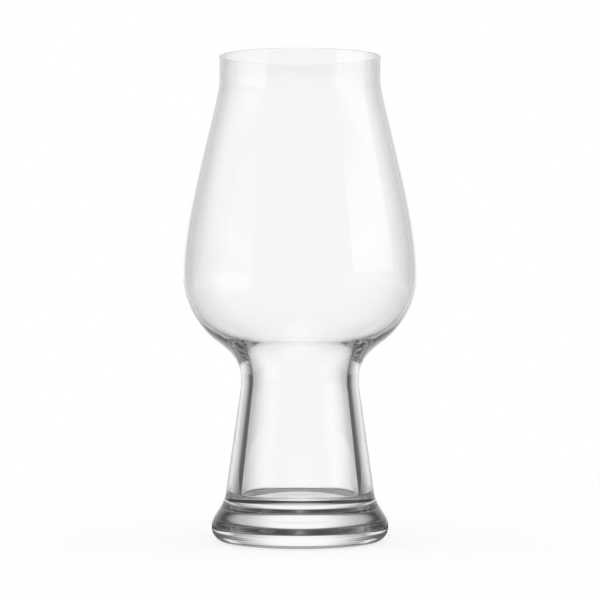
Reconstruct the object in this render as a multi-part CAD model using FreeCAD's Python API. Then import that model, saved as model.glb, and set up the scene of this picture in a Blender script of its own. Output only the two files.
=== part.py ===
import FreeCAD, Part
import math
import os

# A tall beer glass made in one piece: a thin bowl that narrows upwards to a short straight collar,
# a hollow stem that widens downwards, and a thick round foot. The inner wall runs smoothly from the
# rim to the bottom of the stem, and grows thicker towards the foot. It is one solid of revolution
# about +Z. The origin is the centre of the foot on the table. Sizes are in millimetres.

# Rim and collar
rim_radius = 31.05
rim_wall = 0.9
collar_height = 9.0

# Outside of the bowl, from the collar to its widest ring and from there to the neck
bowl_radius = 44.7
bowl_upper_height = 73.4
bowl_lower_height = 40.8
collar_sweep = 8.1
shoulder_sweep = 22.7
belly_sweep = 12.6

# Outside between bowl and neck, where the curve turns from bulging to hollow
turn_radius = 31.85
turn_height = 14.6
turn_angle = 53.7
turn_sweep_up = 6.45
turn_sweep_down = 5.9
neck_sweep = 7.7

# Inside of the bowl, widest at the same level as the outside
bowl_wall = 1.5
inner_belly_sweep = 10.0

# Inside between bowl and neck, measured from the point where the outside turns
turn_wall = 2.65
turn_drop = 1.4
inner_turn_angle = 60.2
inner_turn_sweep_up = 9.1
inner_turn_sweep_down = 3.95

# Neck, waist of the cavity, and stem
neck_radius = 22.55
neck_wall = 4.6
neck_round = 35.0
waist_drop = 1.8
waist_round = 25.0
waist_rise = 2.5
waist_sweep = 9.1
stem_length = 43.8
stem_end_radius = 28.8
stem_end_wall = 6.3

# Foot
floor_thickness = 16.7
floor_corner_round = 1.4
foot_height = 18.0
foot_radius = 33.7
foot_flank_angle = 32.4
foot_top_round = 13.95
foot_shoulder_round = 8.35
foot_heel_round = 5.65

# Shallow round hollow under the foot
hollow_radius = 25.0
hollow_depth = 1.3

# Heights above the table
neck_level = foot_height + stem_length
belly_level = neck_level + bowl_lower_height
collar_level = belly_level + bowl_upper_height
rim_level = collar_level + collar_height
lip_round = rim_wall / 2


def at(radius, height):
    """A point of the section, in the plane of X and Z."""
    return FreeCAD.Vector(radius, 0, height)


def aim(degrees_from_up):
    """The unit direction that leans outwards from straight up by the angle."""
    lean = math.radians(degrees_from_up)
    return at(math.sin(lean), math.cos(lean))


up = aim(0)
outwards = aim(90)
down = aim(180)


def line(start, end):
    return Part.LineSegment(start, end).toShape()


def sweep(start, start_handle, end_handle, end):
    """A cubic curve that leaves and arrives along its two handles."""
    curve = Part.BezierCurve()
    curve.setPoles([start, start_handle, end_handle, end])
    return curve.toShape()


def crossing(first, first_way, second, second_way):
    """Where the line through first along first_way meets the one through second."""
    across = second_way.cross(first_way).y
    return first + first_way * (second_way.cross(second - first).y / across)


def rounded_run(corners):
    """Straight runs through the corners, each corner replaced by a tangent arc of its radius."""
    edges = []
    here = corners[0][0]
    for index in range(1, len(corners) - 1):
        corner, radius = corners[index]
        back = (corners[index - 1][0] - corner).normalize()
        onward = (corners[index + 1][0] - corner).normalize()
        half = back.getAngle(onward) / 2
        setback = radius / math.tan(half)
        middle = (back + onward).normalize() * (radius / math.sin(half) - radius)
        arc_start = corner + back * setback
        arc_end = corner + onward * setback
        edges.append(line(here, arc_start))
        edges.append(Part.Arc(arc_start, corner + middle, arc_end).toShape())
        here = arc_end
    edges.append(line(here, corners[-1][0]))
    return edges


def bowl_outside():
    """From the lip down the collar, round the widest ring and in to the neck."""
    lip = at(rim_radius, rim_level - lip_round)
    collar = at(rim_radius, collar_level)
    belly = at(bowl_radius, belly_level)
    turn = at(turn_radius, neck_level + turn_height)
    turn_way = aim(turn_angle)
    neck = at(neck_radius, neck_level)
    return [
        line(lip, collar),
        sweep(collar, collar - up * collar_sweep, belly + up * shoulder_sweep, belly),
        sweep(belly, belly - up * belly_sweep, turn + turn_way * turn_sweep_up, turn),
        sweep(turn, turn - turn_way * turn_sweep_down, neck + up * neck_sweep, neck),
    ]


def stem_and_foot_outside():
    """From the neck, where the wall is upright, down the stem and round the foot to the middle."""
    neck = at(neck_radius, neck_level)
    stem_end = at(stem_end_radius, foot_height)
    stem_way = (stem_end - neck).normalize()
    half = down.getAngle(stem_way) / 2
    setback = neck_round * math.tan(half)
    corner = neck + down * setback
    stem_top = corner + stem_way * setback
    bow = (stem_way - down).normalize() * (neck_round / math.cos(half) - neck_round)
    edges = [Part.Arc(neck, corner + bow, stem_top).toShape()]

    lean = math.radians(foot_flank_angle)
    shoulder_centre = at(foot_radius - foot_shoulder_round, foot_heel_round)
    flank_end = shoulder_centre + at(math.cos(lean), math.sin(lean)) * foot_shoulder_round
    flank_way = at(-math.sin(lean), math.cos(lean))
    stem_foot = crossing(stem_top, stem_way, flank_end, flank_way)
    edges += rounded_run([(stem_top, 0), (stem_foot, foot_top_round), (flank_end, 0)])

    halfway = at(math.cos(lean / 2), math.sin(lean / 2)) * foot_shoulder_round
    widest = at(foot_radius, foot_heel_round)
    edges.append(Part.Arc(flank_end, shoulder_centre + halfway, widest).toShape())
    heel_centre = at(foot_radius - foot_heel_round, foot_heel_round)
    heel_middle = heel_centre + aim(135) * foot_heel_round
    heel_end = at(foot_radius - foot_heel_round, 0)
    edges.append(Part.Arc(widest, heel_middle, heel_end).toShape())

    hollow_edge = at(hollow_radius, 0)
    hollow_top = at(0, hollow_depth)
    hollow_round = (hollow_radius**2 + hollow_depth**2) / (2 * hollow_depth)
    half_sweep = math.asin(hollow_radius / hollow_round) / 2
    below_top = hollow_round * (1 - math.cos(half_sweep))
    hollow_middle = at(hollow_round * math.sin(half_sweep), hollow_depth - below_top)
    edges.append(line(heel_end, hollow_edge))
    edges.append(Part.Arc(hollow_edge, hollow_middle, hollow_top).toShape())
    return edges


def inside():
    """From the middle of the cavity's floor up the stem and the bowl to the lip."""
    floor = at(0, floor_thickness)
    waist = at(neck_radius - neck_wall, neck_level - waist_drop)
    waist_top = waist + up * waist_rise
    stem_way = (at(stem_end_radius - stem_end_wall, foot_height) - waist).normalize()
    floor_corner = crossing(waist, stem_way, floor, outwards)
    stem = [(floor, 0), (floor_corner, floor_corner_round), (waist, waist_round), (waist_top, 0)]
    edges = rounded_run(stem)

    outer_turn = at(turn_radius, neck_level + turn_height)
    square_in = aim(turn_angle - 90)
    turn = outer_turn + square_in * turn_wall - aim(turn_angle) * turn_drop
    turn_way = aim(inner_turn_angle)
    belly = at(bowl_radius - bowl_wall, belly_level)
    collar = at(rim_radius - rim_wall, collar_level)
    lip = at(rim_radius - rim_wall, rim_level - lip_round)
    turn_handle = turn - turn_way * inner_turn_sweep_down
    edges.append(sweep(waist_top, waist_top + up * waist_sweep, turn_handle, turn))
    edges.append(sweep(turn, turn + turn_way * inner_turn_sweep_up, belly - up * inner_belly_sweep, belly))
    edges.append(sweep(belly, belly + up * shoulder_sweep, collar - up * collar_sweep, collar))
    edges.append(line(collar, lip))
    return edges


def glass():
    """The whole section turned once about the axis."""
    lip_inner = at(rim_radius - rim_wall, rim_level - lip_round)
    lip_middle = at(rim_radius - lip_round, rim_level)
    lip_outer = at(rim_radius, rim_level - lip_round)
    edges = inside()
    edges.append(Part.Arc(lip_inner, lip_middle, lip_outer).toShape())
    edges += bowl_outside() + stem_and_foot_outside()
    edges.append(line(at(0, hollow_depth), at(0, floor_thickness)))
    section = Part.Face(Part.Wire(edges))
    return section.revolve(at(0, 0), up, 360)


os.makedirs("parts", exist_ok=True)
glass().exportStep("parts/glass.step")
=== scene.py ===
import bpy
import math
import numpy as np
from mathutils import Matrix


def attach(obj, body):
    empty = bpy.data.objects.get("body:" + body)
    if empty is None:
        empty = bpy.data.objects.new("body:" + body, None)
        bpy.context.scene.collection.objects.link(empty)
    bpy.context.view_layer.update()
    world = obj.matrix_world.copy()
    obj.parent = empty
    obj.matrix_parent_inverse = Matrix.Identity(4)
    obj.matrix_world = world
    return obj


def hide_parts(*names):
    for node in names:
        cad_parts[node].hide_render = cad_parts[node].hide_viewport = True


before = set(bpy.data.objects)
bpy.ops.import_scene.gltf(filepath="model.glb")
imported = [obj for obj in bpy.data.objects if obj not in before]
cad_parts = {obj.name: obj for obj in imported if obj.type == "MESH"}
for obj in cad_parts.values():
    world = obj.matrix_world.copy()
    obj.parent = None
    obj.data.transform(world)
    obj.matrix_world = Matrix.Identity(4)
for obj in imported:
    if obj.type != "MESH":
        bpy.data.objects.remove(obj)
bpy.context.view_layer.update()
scene = bpy.context.scene
scene.view_settings.view_transform = "Standard"

# The glass is one piece with no seam. The foot and the hollow stem are pressed in a mould, the
# thin bowl is blown from the same gather, and the cut rim is melted round in a flame, so that
# every edge is soft. Sizes are in millimetres, heights are above the table.
MM = 0.001
RIM_RADIUS, RIM_WALL, RIM_LEVEL, COLLAR_LEVEL = 31.05, 0.9, 185.0, 176.0
BOWL_RADIUS, BOWL_WALL, BELLY_LEVEL = 44.7, 1.5, 102.6
COLLAR_SWEEP, SHOULDER_SWEEP, BELLY_SWEEP, INNER_BELLY_SWEEP = 8.1, 22.7, 12.6, 10.0
TURN_RADIUS, TURN_LEVEL, TURN_ANGLE, TURN_SWEEP_UP, TURN_SWEEP_DOWN = 31.85, 76.4, 53.7, 6.45, 5.9
TURN_WALL, TURN_DROP, INNER_TURN_ANGLE = 2.65, 1.4, 60.2
INNER_TURN_SWEEP_UP, INNER_TURN_SWEEP_DOWN = 9.1, 3.95
NECK_RADIUS, NECK_WALL, NECK_LEVEL, NECK_ROUND, NECK_SWEEP = 22.55, 4.6, 61.8, 35.0, 7.7
WAIST_LEVEL, WAIST_RISE, WAIST_ROUND, WAIST_SWEEP = 60.0, 2.5, 25.0, 9.1
STEM_END_RADIUS, STEM_END_WALL, STEM_END_LEVEL = 28.8, 6.3, 18.0
FLOOR_LEVEL, FLOOR_CORNER_ROUND = 16.7, 1.4
FOOT_RADIUS, FOOT_FLANK_ANGLE = 33.7, 32.4
FOOT_TOP_ROUND, FOOT_SHOULDER_ROUND, FOOT_HEEL_ROUND = 13.95, 8.35, 5.65
HOLLOW_RADIUS, HOLLOW_DEPTH, HOLLOW_EDGE_SOFTNESS = 25.0, 1.3, 0.1
ROUND_STEPS = 256


def lean(degrees):
    """The direction that leans outwards from straight up by the angle: (sine, cosine)."""
    return np.array([math.sin(math.radians(degrees)), math.cos(math.radians(degrees))])


def place(radius, level):
    """A point of the section: its distance from the axis and its height."""
    return np.array([radius, level])


def straight(start, end, steps=6):
    """Points spread evenly from start to end, the end left out. Here and in the next two, a row
    is a point and the direction in which the section goes on there."""
    share = np.linspace(0, 1, steps, endpoint=False)[:, None]
    points = start + (end - start) * share
    return np.hstack([points, np.broadcast_to(end - start, points.shape)])


def sweep(start, start_handle, end_handle, end, steps=32):
    """A cubic curve: each point weighs the ends and handles by the terms of ((1 - t) + t) cubed."""
    t = np.linspace(0, 1, steps, endpoint=False)[:, None]
    s = 1 - t
    points = s**3 * start + 3 * s * s * t * start_handle + 3 * s * t * t * end_handle + t**3 * end
    leaving, middle, arriving = start_handle - start, end_handle - start_handle, end - end_handle
    return np.hstack([points, s * s * leaving + 2 * s * t * middle + t * t * arriving])


def arc(centre, radius, start, end, steps):
    """Points at the radius from the centre, the angle above level going evenly from start to end."""
    angle = np.radians(np.linspace(start, end, steps, endpoint=False))[:, None]
    out = np.hstack([np.cos(angle), np.sin(angle)])
    onward = np.hstack([-np.sin(angle), np.cos(angle)]) * np.sign(end - start)
    return np.hstack([centre + radius * out, onward])


def crossing(first, first_way, second, second_way):
    """Where two lines meet: first plus the share of its way that solves both lines at once."""
    share = np.linalg.solve(np.array([first_way, -second_way]).T, second - first)[0]
    return first + first_way * share


def rounded_run(corners, steps_per_radian, fewest_steps=6):
    """Straight runs between corners, each corner cut back by radius over the tangent of half its
    angle and bridged by the circle that touches both runs."""
    parts = []
    here = corners[0][0]
    for (before, _), (corner, radius), (after, _) in zip(corners, corners[1:], corners[2:]):
        back = (before - corner) / np.linalg.norm(before - corner)
        onward = (after - corner) / np.linalg.norm(after - corner)
        half = math.acos(np.dot(back, onward)) / 2
        bisector = (back + onward) / np.linalg.norm(back + onward)
        centre = corner + bisector * radius / math.sin(half)
        first = corner + back * radius / math.tan(half) - centre
        last = corner + onward * radius / math.tan(half) - centre
        turn = math.atan2(first[0] * last[1] - first[1] * last[0], np.dot(first, last))
        begin = math.degrees(math.atan2(first[1], first[0]))
        steps = max(fewest_steps, int(abs(turn) * steps_per_radian))
        parts.append(straight(here, centre + first))
        parts.append(arc(centre, radius, begin, begin + math.degrees(turn), steps))
        here = centre + last
    parts.append(straight(here, corners[-1][0]))
    return parts


def inside():
    """The cavity's wall from the middle of its floor up to the lip: a flat floor, a round corner,
    a straight cone to the waist, and three cubic curves through the turn and the belly."""
    up = lean(0)
    floor = place(0, FLOOR_LEVEL)
    waist = place(NECK_RADIUS - NECK_WALL, WAIST_LEVEL)
    waist_top = waist + up * WAIST_RISE
    stem_way = place(STEM_END_RADIUS - STEM_END_WALL, STEM_END_LEVEL) - waist
    floor_corner = crossing(waist, stem_way, floor, lean(90))
    stem = [(floor, 0), (floor_corner, FLOOR_CORNER_ROUND), (waist, WAIST_ROUND), (waist_top, 0)]
    outer_turn = place(TURN_RADIUS, TURN_LEVEL)
    turn = outer_turn + lean(TURN_ANGLE - 90) * TURN_WALL - lean(TURN_ANGLE) * TURN_DROP
    way = lean(INNER_TURN_ANGLE)
    belly = place(BOWL_RADIUS - BOWL_WALL, BELLY_LEVEL)
    collar = place(RIM_RADIUS - RIM_WALL, COLLAR_LEVEL)
    return rounded_run(stem, steps_per_radian=20) + [
        sweep(waist_top, waist_top + up * WAIST_SWEEP, turn - way * INNER_TURN_SWEEP_DOWN, turn),
        sweep(turn, turn + way * INNER_TURN_SWEEP_UP, belly - up * INNER_BELLY_SWEEP, belly),
        sweep(belly, belly + up * SHOULDER_SWEEP, collar - up * COLLAR_SWEEP, collar),
        straight(collar, place(RIM_RADIUS - RIM_WALL, RIM_LEVEL - RIM_WALL / 2), steps=4)]


def outside():
    """The outer wall from the lip down to the middle of the underside: a straight collar, three
    cubic curves round the belly and in to the neck, an arc and a straight stem, the foot's round
    shoulder and heel, and a shallow spherical hollow under the foot."""
    up = lean(0)
    collar = place(RIM_RADIUS, COLLAR_LEVEL)
    belly = place(BOWL_RADIUS, BELLY_LEVEL)
    turn = place(TURN_RADIUS, TURN_LEVEL)
    way = lean(TURN_ANGLE)
    neck = place(NECK_RADIUS, NECK_LEVEL)
    bowl = [
        straight(place(RIM_RADIUS, RIM_LEVEL - RIM_WALL / 2), collar, steps=4),
        sweep(collar, collar - up * COLLAR_SWEEP, belly + up * SHOULDER_SWEEP, belly),
        sweep(belly, belly - up * BELLY_SWEEP, turn + way * TURN_SWEEP_UP, turn),
        sweep(turn, turn - way * TURN_SWEEP_DOWN, neck + up * NECK_SWEEP, neck)]

    stem_way = place(STEM_END_RADIUS, STEM_END_LEVEL) - neck
    bend = math.degrees(math.atan2(stem_way[0], -stem_way[1]))
    neck_centre = neck + place(NECK_ROUND, 0)
    stem_top = neck_centre - NECK_ROUND * lean(90 - bend)
    shoulder = place(FOOT_RADIUS - FOOT_SHOULDER_ROUND, FOOT_HEEL_ROUND)
    flank_end = shoulder + FOOT_SHOULDER_ROUND * lean(90 - FOOT_FLANK_ANGLE)
    stem_foot = crossing(stem_top, stem_way, flank_end, lean(-FOOT_FLANK_ANGLE))
    corners = [(stem_top, 0), (stem_foot, FOOT_TOP_ROUND), (flank_end, 0)]
    stem = [arc(neck_centre, NECK_ROUND, 180, 180 + bend, steps=8)]
    stem += rounded_run(corners, steps_per_radian=24)

    heel = place(FOOT_RADIUS - FOOT_HEEL_ROUND, FOOT_HEEL_ROUND)
    heel_end = place(FOOT_RADIUS - FOOT_HEEL_ROUND, 0)
    hollow_round = (HOLLOW_RADIUS**2 + HOLLOW_DEPTH**2) / (2 * HOLLOW_DEPTH)
    hollow_centre = place(0, HOLLOW_DEPTH - hollow_round)
    hollow_begin = math.degrees(math.acos(HOLLOW_RADIUS / hollow_round))
    soft_edge = place(HOLLOW_RADIUS + HOLLOW_EDGE_SOFTNESS, 0)
    foot = [
        arc(shoulder, FOOT_SHOULDER_ROUND, FOOT_FLANK_ANGLE, 0, steps=12),
        arc(heel, FOOT_HEEL_ROUND, 0, -90, steps=24),
        straight(heel_end, soft_edge, steps=3),
        straight(soft_edge, place(HOLLOW_RADIUS, 0), steps=1),
        arc(hollow_centre, hollow_round, hollow_begin, 90, steps=24),
        np.array([[0, HOLLOW_DEPTH, -1, 0]])]
    return bowl + stem + foot


def turned(name, outline):
    """The outline turned once about the axis, with single points where it meets the axis. Each
    ring keeps the direction square to the wall, so that it shines as evenly as a true curve."""
    angle = np.linspace(0, 2 * math.pi, ROUND_STEPS, endpoint=False)

    def round_the_axis(across, upright):
        """x and y are the distance across times the cosine and sine of the angle, z is upright."""
        x = across[:, None] * np.cos(angle)
        y = across[:, None] * np.sin(angle)
        z = np.broadcast_to(upright[:, None], x.shape)
        return np.stack([x, y, z], axis=-1).reshape(-1, 3)

    radius, level, onward_across, onward_up = outline[1:-1].T
    length = np.hypot(onward_across, onward_up)
    ends = np.array([[0, 0, outline[0, 1]], [0, 0, outline[-1, 1]]])
    points = np.vstack([round_the_axis(radius, level) * MM, ends * MM])
    square = round_the_axis(-onward_up / length, onward_across / length)
    square = np.vstack([square, [[0, 0, 1], [0, 0, -1]]])

    rings = len(radius)
    ring, step = np.meshgrid(np.arange(rings - 1), np.arange(ROUND_STEPS), indexing="ij")
    here = ring * ROUND_STEPS
    below = here + ROUND_STEPS
    after = (step + 1) % ROUND_STEPS
    quads = np.stack([here + step, below + step, below + after, here + after], axis=-1)
    around = np.arange(ROUND_STEPS)
    beside = (around + 1) % ROUND_STEPS
    last_ring = (rings - 1) * ROUND_STEPS
    first_end = np.full(ROUND_STEPS, rings * ROUND_STEPS)
    start_fan = np.stack([first_end, around, beside], axis=-1)
    end_fan = np.stack([first_end + 1, last_ring + beside, last_ring + around], axis=-1)
    faces = quads.reshape(-1, 4).tolist() + start_fan.tolist() + end_fan.tolist()

    mesh = bpy.data.meshes.new(name)
    mesh.from_pydata(points, [], faces)
    mesh.polygons.foreach_set("use_smooth", np.ones(len(faces), dtype=bool))
    mesh.update()
    mesh.normals_split_custom_set_from_vertices(square.tolist())
    piece = bpy.data.objects.new(name, mesh)
    scene.collection.objects.link(piece)
    return piece


def add_node(tree, kind, values=None):
    """One node. Each value is a setting of the node, or the number that a socket holds, or the
    socket or node whose light, place or number it takes."""
    node = tree.nodes.new(kind)
    for name, value in (values or {}).items():
        if isinstance(value, bpy.types.Node):
            tree.links.new(value.outputs[0], node.inputs[name])
        elif isinstance(value, bpy.types.NodeSocket):
            tree.links.new(value, node.inputs[name])
        elif isinstance(name, str) and hasattr(node, name):
            setattr(node, name, value)
        else:
            node.inputs[name].default_value = value
    return node


def linear(colour):
    """An sRGB hex colour as linear red, green, blue and a full alpha."""
    shares = [int(colour[k:k + 2], 16) / 255 for k in (1, 3, 5)]
    return [s / 12.92 if s <= 0.04045 else ((s + 0.055) / 1.055)**2.4 for s in shares] + [1.0]


lip_centre = place(RIM_RADIUS - RIM_WALL / 2, RIM_LEVEL - RIM_WALL / 2)
lip = arc(lip_centre, RIM_WALL / 2, 180, 0, steps=16)
outline = np.vstack(inside() + [lip] + outside())
glass = turned("crystal_glass", outline)
print("triangles", sum(len(face.vertices) - 2 for face in glass.data.polygons))

# Clear crystal glass, pressed and blown, then fire polished. It is colourless, so the eye reads it
# from its dark and bright edges. The flame leaves long ripples a few thousandths of a millimetre
# high, washing leaves a trace of haze, and the thick foot takes a little of the light.
RIPPLE_LENGTH, RIPPLE_HEIGHT = 16.0, 0.005
HAZE_SIZE, HAZE_ROUGHNESS, HAZE_STARTS, HAZE_FULL = 22.0, 0.02, 0.5, 0.75
CRYSTAL_COLOUR, CRYSTAL_IOR = "#FFFFFF", 1.52
LOSS_COLOUR, LOSS_PER_METRE = "#9A9C9B", 1.4
crystal = bpy.data.materials.new("clear_crystal_glass")
crystal.use_nodes = True
tree = crystal.node_tree
tree.nodes.clear()
spot = add_node(tree, "ShaderNodeTexCoord").outputs["Object"]
ripple = add_node(
    tree, "ShaderNodeTexNoise", {"Vector": spot, "Scale": 1 / (RIPPLE_LENGTH * MM), "Detail": 1.0})
ripples = add_node(
    tree, "ShaderNodeBump", {"Height": ripple, "Strength": 1.0, "Distance": RIPPLE_HEIGHT * MM})
washed = add_node(
    tree, "ShaderNodeTexNoise", {"Vector": spot, "Scale": 1 / (HAZE_SIZE * MM), "Detail": 3.0})
haze = add_node(
    tree, "ShaderNodeMapRange",
    {"Value": washed, "From Min": HAZE_STARTS, "From Max": HAZE_FULL, "To Max": HAZE_ROUGHNESS})
body = add_node(
    tree, "ShaderNodeBsdfPrincipled",
    {"Base Color": linear(CRYSTAL_COLOUR), "IOR": CRYSTAL_IOR, "Transmission Weight": 1.0,
     "Normal": ripples, "Roughness": haze})
depth = add_node(
    tree, "ShaderNodeVolumeAbsorption",
    {"Color": linear(LOSS_COLOUR), "Density": LOSS_PER_METRE})
add_node(tree, "ShaderNodeOutputMaterial", {"Surface": body, "Volume": depth})
glass.data.materials.append(crystal)
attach(glass, "root")
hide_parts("glass")

# The table is a round sheet of matt white board under the glass, a metre across. What the glass
# sees of it is a glow painted on the board, not lamp light: painted light towards the backdrop,
# painted shade on the other sides and a painted shadow of the foot close by. The camera sees
# plain board that takes the soft shadow of the glass.
TABLE_RADIUS, TABLE_DROP, TABLE_SIDES = 500.0, 0.3, 96
BOARD_COLOUR, BOARD_SHARE, BOARD_GLOW = "#F4F4F2", 0.28, 0.78
LIGHT_COLOUR = "#FFFFFF"
PAINTED_GLOW_BESIDE_THE_GLASS, PAINTED_GLOW_UNDER_THE_FOOT = 0.16, 0.44

# A row names a patch and its light, and then where it lies: a reading, its middle, how far the
# patch reaches to either side of that, and half of its soft edge. It covers the rows above it.
# Off line is the angle from straight behind the glass in degrees, the same to both sides.
# Distance is from the axis in millimetres. Mirrorings count the mirror reflections on the way.
PAINTED_GLOW_ROUND_THE_FOOT = [
    # Painted light on the board towards the backdrop, and painted shade towards the camera.
    ("painted light from behind", 1.08, ("off line", 0, 13, 8)),
    ("painted light from behind further out", 1.08, ("off line", 0, 33, 28), ("distance", 500, 360, 60)),
    ("on the camera's side", 0.12, ("off line", 180, 55, 25)),
]
PAINTED_GLOW_BELOW_THE_FOOT = [
    # A painted pool of light on the board under the middle of the foot.
    ("painted light through the middle", 1.04, ("distance", 0, 22, 2.5)),
    ("sides", 0.19, ("off line", 0, 115, 25)),
    ("behind", 0.42, ("off line", 0, 45, 25)),
]
# A painted shadow of the foot on the board: how far it reaches from the axis and half its soft edge.
PAINTED_FOOT_SHADOW_REACH, PAINTED_FOOT_SHADOW_EDGE = 54.0, 20.0
OVER_BOTH = [
    # A painted line of shade on the board just behind the foot.
    ("painted shade line behind the foot", 0.04, ("off line", 0, 90, 5), ("distance", 48.8, 5.7, 2.8)),
    ("board seen clear through the glass", 1.0,
     ("off line", 180, 141, 5), ("distance", 500, 405, 15), ("mirrorings", 0, 0.5, 0.1)),
]


def bearing(tree, place):
    """The angle about the axis in degrees, from straight behind the glass to its right: the arc
    tangent of x over y."""
    parts = add_node(tree, "ShaderNodeSeparateXYZ", {"Vector": place})
    angle = add_node(
        tree, "ShaderNodeMath",
        {"operation": "ARCTAN2", 0: parts.outputs["X"], 1: parts.outputs["Y"]})
    return add_node(tree, "ShaderNodeMath", {"operation": "DEGREES", 0: angle})


def laid_over(tree, light, patches, readings):
    """The light with each patch laid over it in turn. A patch covers the share that its smooth
    steps leave of one, all of it near the middles and none of it beyond the edges."""
    for name, brightness, *limits in patches:
        share = 1.0
        for reading, middle, reach, blur in limits:
            off = add_node(
                tree, "ShaderNodeMath",
                {"operation": "SUBTRACT", 0: readings[reading], 1: middle})
            away = add_node(tree, "ShaderNodeMath", {"operation": "ABSOLUTE", 0: off})
            within = add_node(
                tree, "ShaderNodeMapRange",
                {"interpolation_type": "SMOOTHSTEP", "Value": away, "From Min": reach - blur,
                 "From Max": reach + blur, "To Min": 1.0, "To Max": 0.0})
            share = add_node(tree, "ShaderNodeMath", {"operation": "MULTIPLY", 0: share, 1: within})
        light = add_node(
            tree, "ShaderNodeMix",
            {"label": name, "data_type": "FLOAT", 0: share, 2: light, 3: brightness})
    return light


bpy.ops.mesh.primitive_circle_add(
    vertices=TABLE_SIDES, radius=TABLE_RADIUS * MM, fill_type="NGON",
    location=(0, 0, -TABLE_DROP * MM))
table = bpy.context.object
table.name = "table"
board = bpy.data.materials.new("white_board_with_painted_glow")
board.use_nodes = True
tree = board.node_tree
tree.nodes.clear()
spot = add_node(tree, "ShaderNodeTexCoord").outputs["Object"]
length = add_node(tree, "ShaderNodeVectorMath", {"operation": "LENGTH", 0: spot})
path = add_node(tree, "ShaderNodeLightPath")
readings = {
    "off line": add_node(
        tree, "ShaderNodeMath", {"operation": "ABSOLUTE", 0: bearing(tree, spot)}),
    "distance": add_node(
        tree, "ShaderNodeMath", {"operation": "DIVIDE", 0: length.outputs["Value"], 1: MM}),
    "mirrorings": path.outputs["Glossy Depth"],
}
# The glow below is painted light and shade on the board for what the glass sees; it is no lamp.
beyond = laid_over(tree, PAINTED_GLOW_BESIDE_THE_GLASS, PAINTED_GLOW_ROUND_THE_FOOT, readings)
under = laid_over(tree, PAINTED_GLOW_UNDER_THE_FOOT, PAINTED_GLOW_BELOW_THE_FOOT, readings)
painted_foot_shadow = ("painted shadow of the foot", under, ("distance", 0, PAINTED_FOOT_SHADOW_REACH, PAINTED_FOOT_SHADOW_EDGE))
painted_glow = laid_over(tree, beyond, [painted_foot_shadow] + OVER_BOTH, readings)
painted_glow_in_glass = add_node(tree, "ShaderNodeEmission", {"Color": painted_glow, "Strength": 1.0})
lit = add_node(tree, "ShaderNodeEmission", {"Color": linear(LIGHT_COLOUR), "Strength": BOARD_GLOW})
matt = add_node(
    tree, "ShaderNodeBsdfDiffuse",
    {"Color": [BOARD_SHARE * part for part in linear(BOARD_COLOUR)[:3]] + [1.0]})
plain = add_node(tree, "ShaderNodeAddShader", {0: lit, 1: matt})
shown = add_node(
    tree, "ShaderNodeMixShader", {0: path.outputs["Is Camera Ray"], 1: painted_glow_in_glass, 2: plain})
add_node(tree, "ShaderNodeOutputMaterial", {"Surface": shown})
table.data.materials.append(board)

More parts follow.
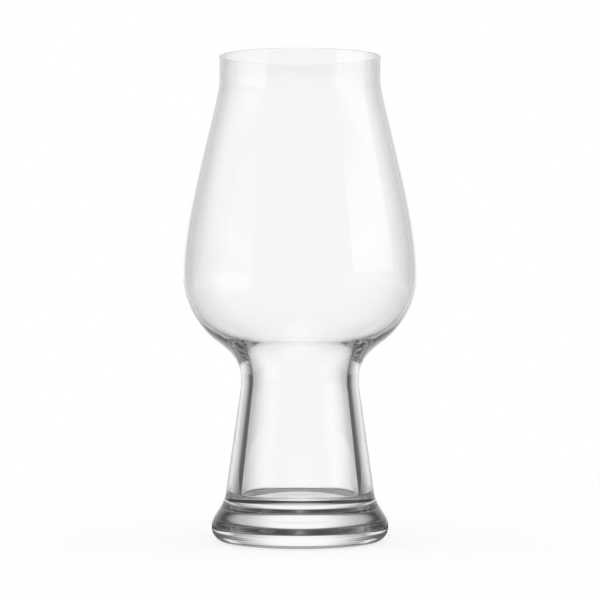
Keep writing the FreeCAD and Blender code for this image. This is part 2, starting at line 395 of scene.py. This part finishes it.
# The studio is a white paper backdrop behind the glass, a lamp overhead and two soft boxes, with
# the rest of the room dark, which gives clear glass its dark edges and its two upright streaks.
# The rows are like those of the table. Bearing is the angle from straight behind the glass to
# its right, and height is the angle above level, both in degrees.
ROOM_LIGHT = 0.057
STUDIO = [
    ("side walls", 0.21, ("off line", 90, 30, 20), ("height", 14, 26, 10)),
    ("wall behind the camera", 0.075, ("off line", 180, 45, 15), ("height", 19, 31, 10)),
    ("floor", 0.53, ("height", -90, 81, 4)),
    ("floor on the camera's side", 0.0, ("off line", 180, 60, 20), ("height", -90, 81, 4)),
    ("ceiling", 0.14, ("off line", 0, 84, 20), ("height", 90, 62, 5)),
    ("gap over the backdrop", 0.205, ("off line", 0, 35, 10), ("height", 32.5, 12.5, 5)),
    ("lamp overhead", 0.62, ("off line", 0, 21.6, 3), ("height", 90, 45, 5)),
    ("edge of the backdrop", 0.57, ("off line", 0, 38, 10), ("height", -90, 113, 5)),
    ("backdrop", 1.08, ("off line", 0, 18, 12), ("height", -90, 113, 5)),
    ("backdrop above eye level", 0.98, ("off line", 0, 12, 8), ("height", 7.3, 1.7, 0.8)),
    ("right soft box", 0.75, ("bearing", 101.5, 25.5, 1), ("height", 12.5, 12.5, 4)),
    ("left soft box", 0.36, ("bearing", -116.5, 16.5, 2.5), ("height", 12.5, 12.5, 4)),
    ("top of the ceiling", 0.08, ("height", 90, 24, 6)),
    ("middle of the lamp overhead", 0.86, ("off line", 0, 21.6, 3), ("height", 90, 24, 6)),
    ("room seen clear through the glass", 1.0, ("off line", 180, 141, 5), ("mirrorings", 0, 0.5, 0.1)),
]
world = bpy.data.worlds.new("studio")
scene.world = world
world.use_nodes = True
tree = world.node_tree
tree.nodes.clear()
sight = add_node(tree, "ShaderNodeTexCoord").outputs["Generated"]
parts = add_node(tree, "ShaderNodeSeparateXYZ", {"Vector": sight})
rise = add_node(tree, "ShaderNodeMath", {"operation": "ARCSINE", 0: parts.outputs["Z"]})
side = bearing(tree, sight)
path = add_node(tree, "ShaderNodeLightPath")
readings = {
    "bearing": side,
    "off line": add_node(tree, "ShaderNodeMath", {"operation": "ABSOLUTE", 0: side}),
    "height": add_node(tree, "ShaderNodeMath", {"operation": "DEGREES", 0: rise}),
    "mirrorings": path.outputs["Glossy Depth"],
}
level = laid_over(tree, ROOM_LIGHT, STUDIO, readings)
room = add_node(tree, "ShaderNodeBackground", {"Color": level, "Strength": 1.0})
paper = add_node(tree, "ShaderNodeBackground", {"Color": linear(LIGHT_COLOUR), "Strength": 1.0})
shown = add_node(
    tree, "ShaderNodeMixShader", {0: path.outputs["Is Camera Ray"], 1: room, 2: paper})
add_node(tree, "ShaderNodeOutputWorld", {"Surface": shown})

# The camera stands level with the middle of the glass, a little under a metre away.
VIEW_WIDTH, VIEW_DISTANCE, VIEW_LEVEL = 229.2, 880.0, 92.04
SENSOR_WIDTH, FARTHEST_SIGHT, LIGHT_BOUNCES = 36.0, 100.0, 32
camera_data = bpy.data.cameras.new("camera")
camera = bpy.data.objects.new("camera", camera_data)
scene.collection.objects.link(camera)
camera_data.sensor_width = SENSOR_WIDTH
camera_data.lens = SENSOR_WIDTH * VIEW_DISTANCE / VIEW_WIDTH
camera_data.clip_end = FARTHEST_SIGHT
camera.location = (0, -VIEW_DISTANCE * MM, VIEW_LEVEL * MM)
camera.rotation_euler = (math.pi / 2, 0, 0)
scene.camera = camera
scene.cycles.max_bounces = LIGHT_BOUNCES
scene.cycles.transmission_bounces = LIGHT_BOUNCES
scene.cycles.glossy_bounces = LIGHT_BOUNCES
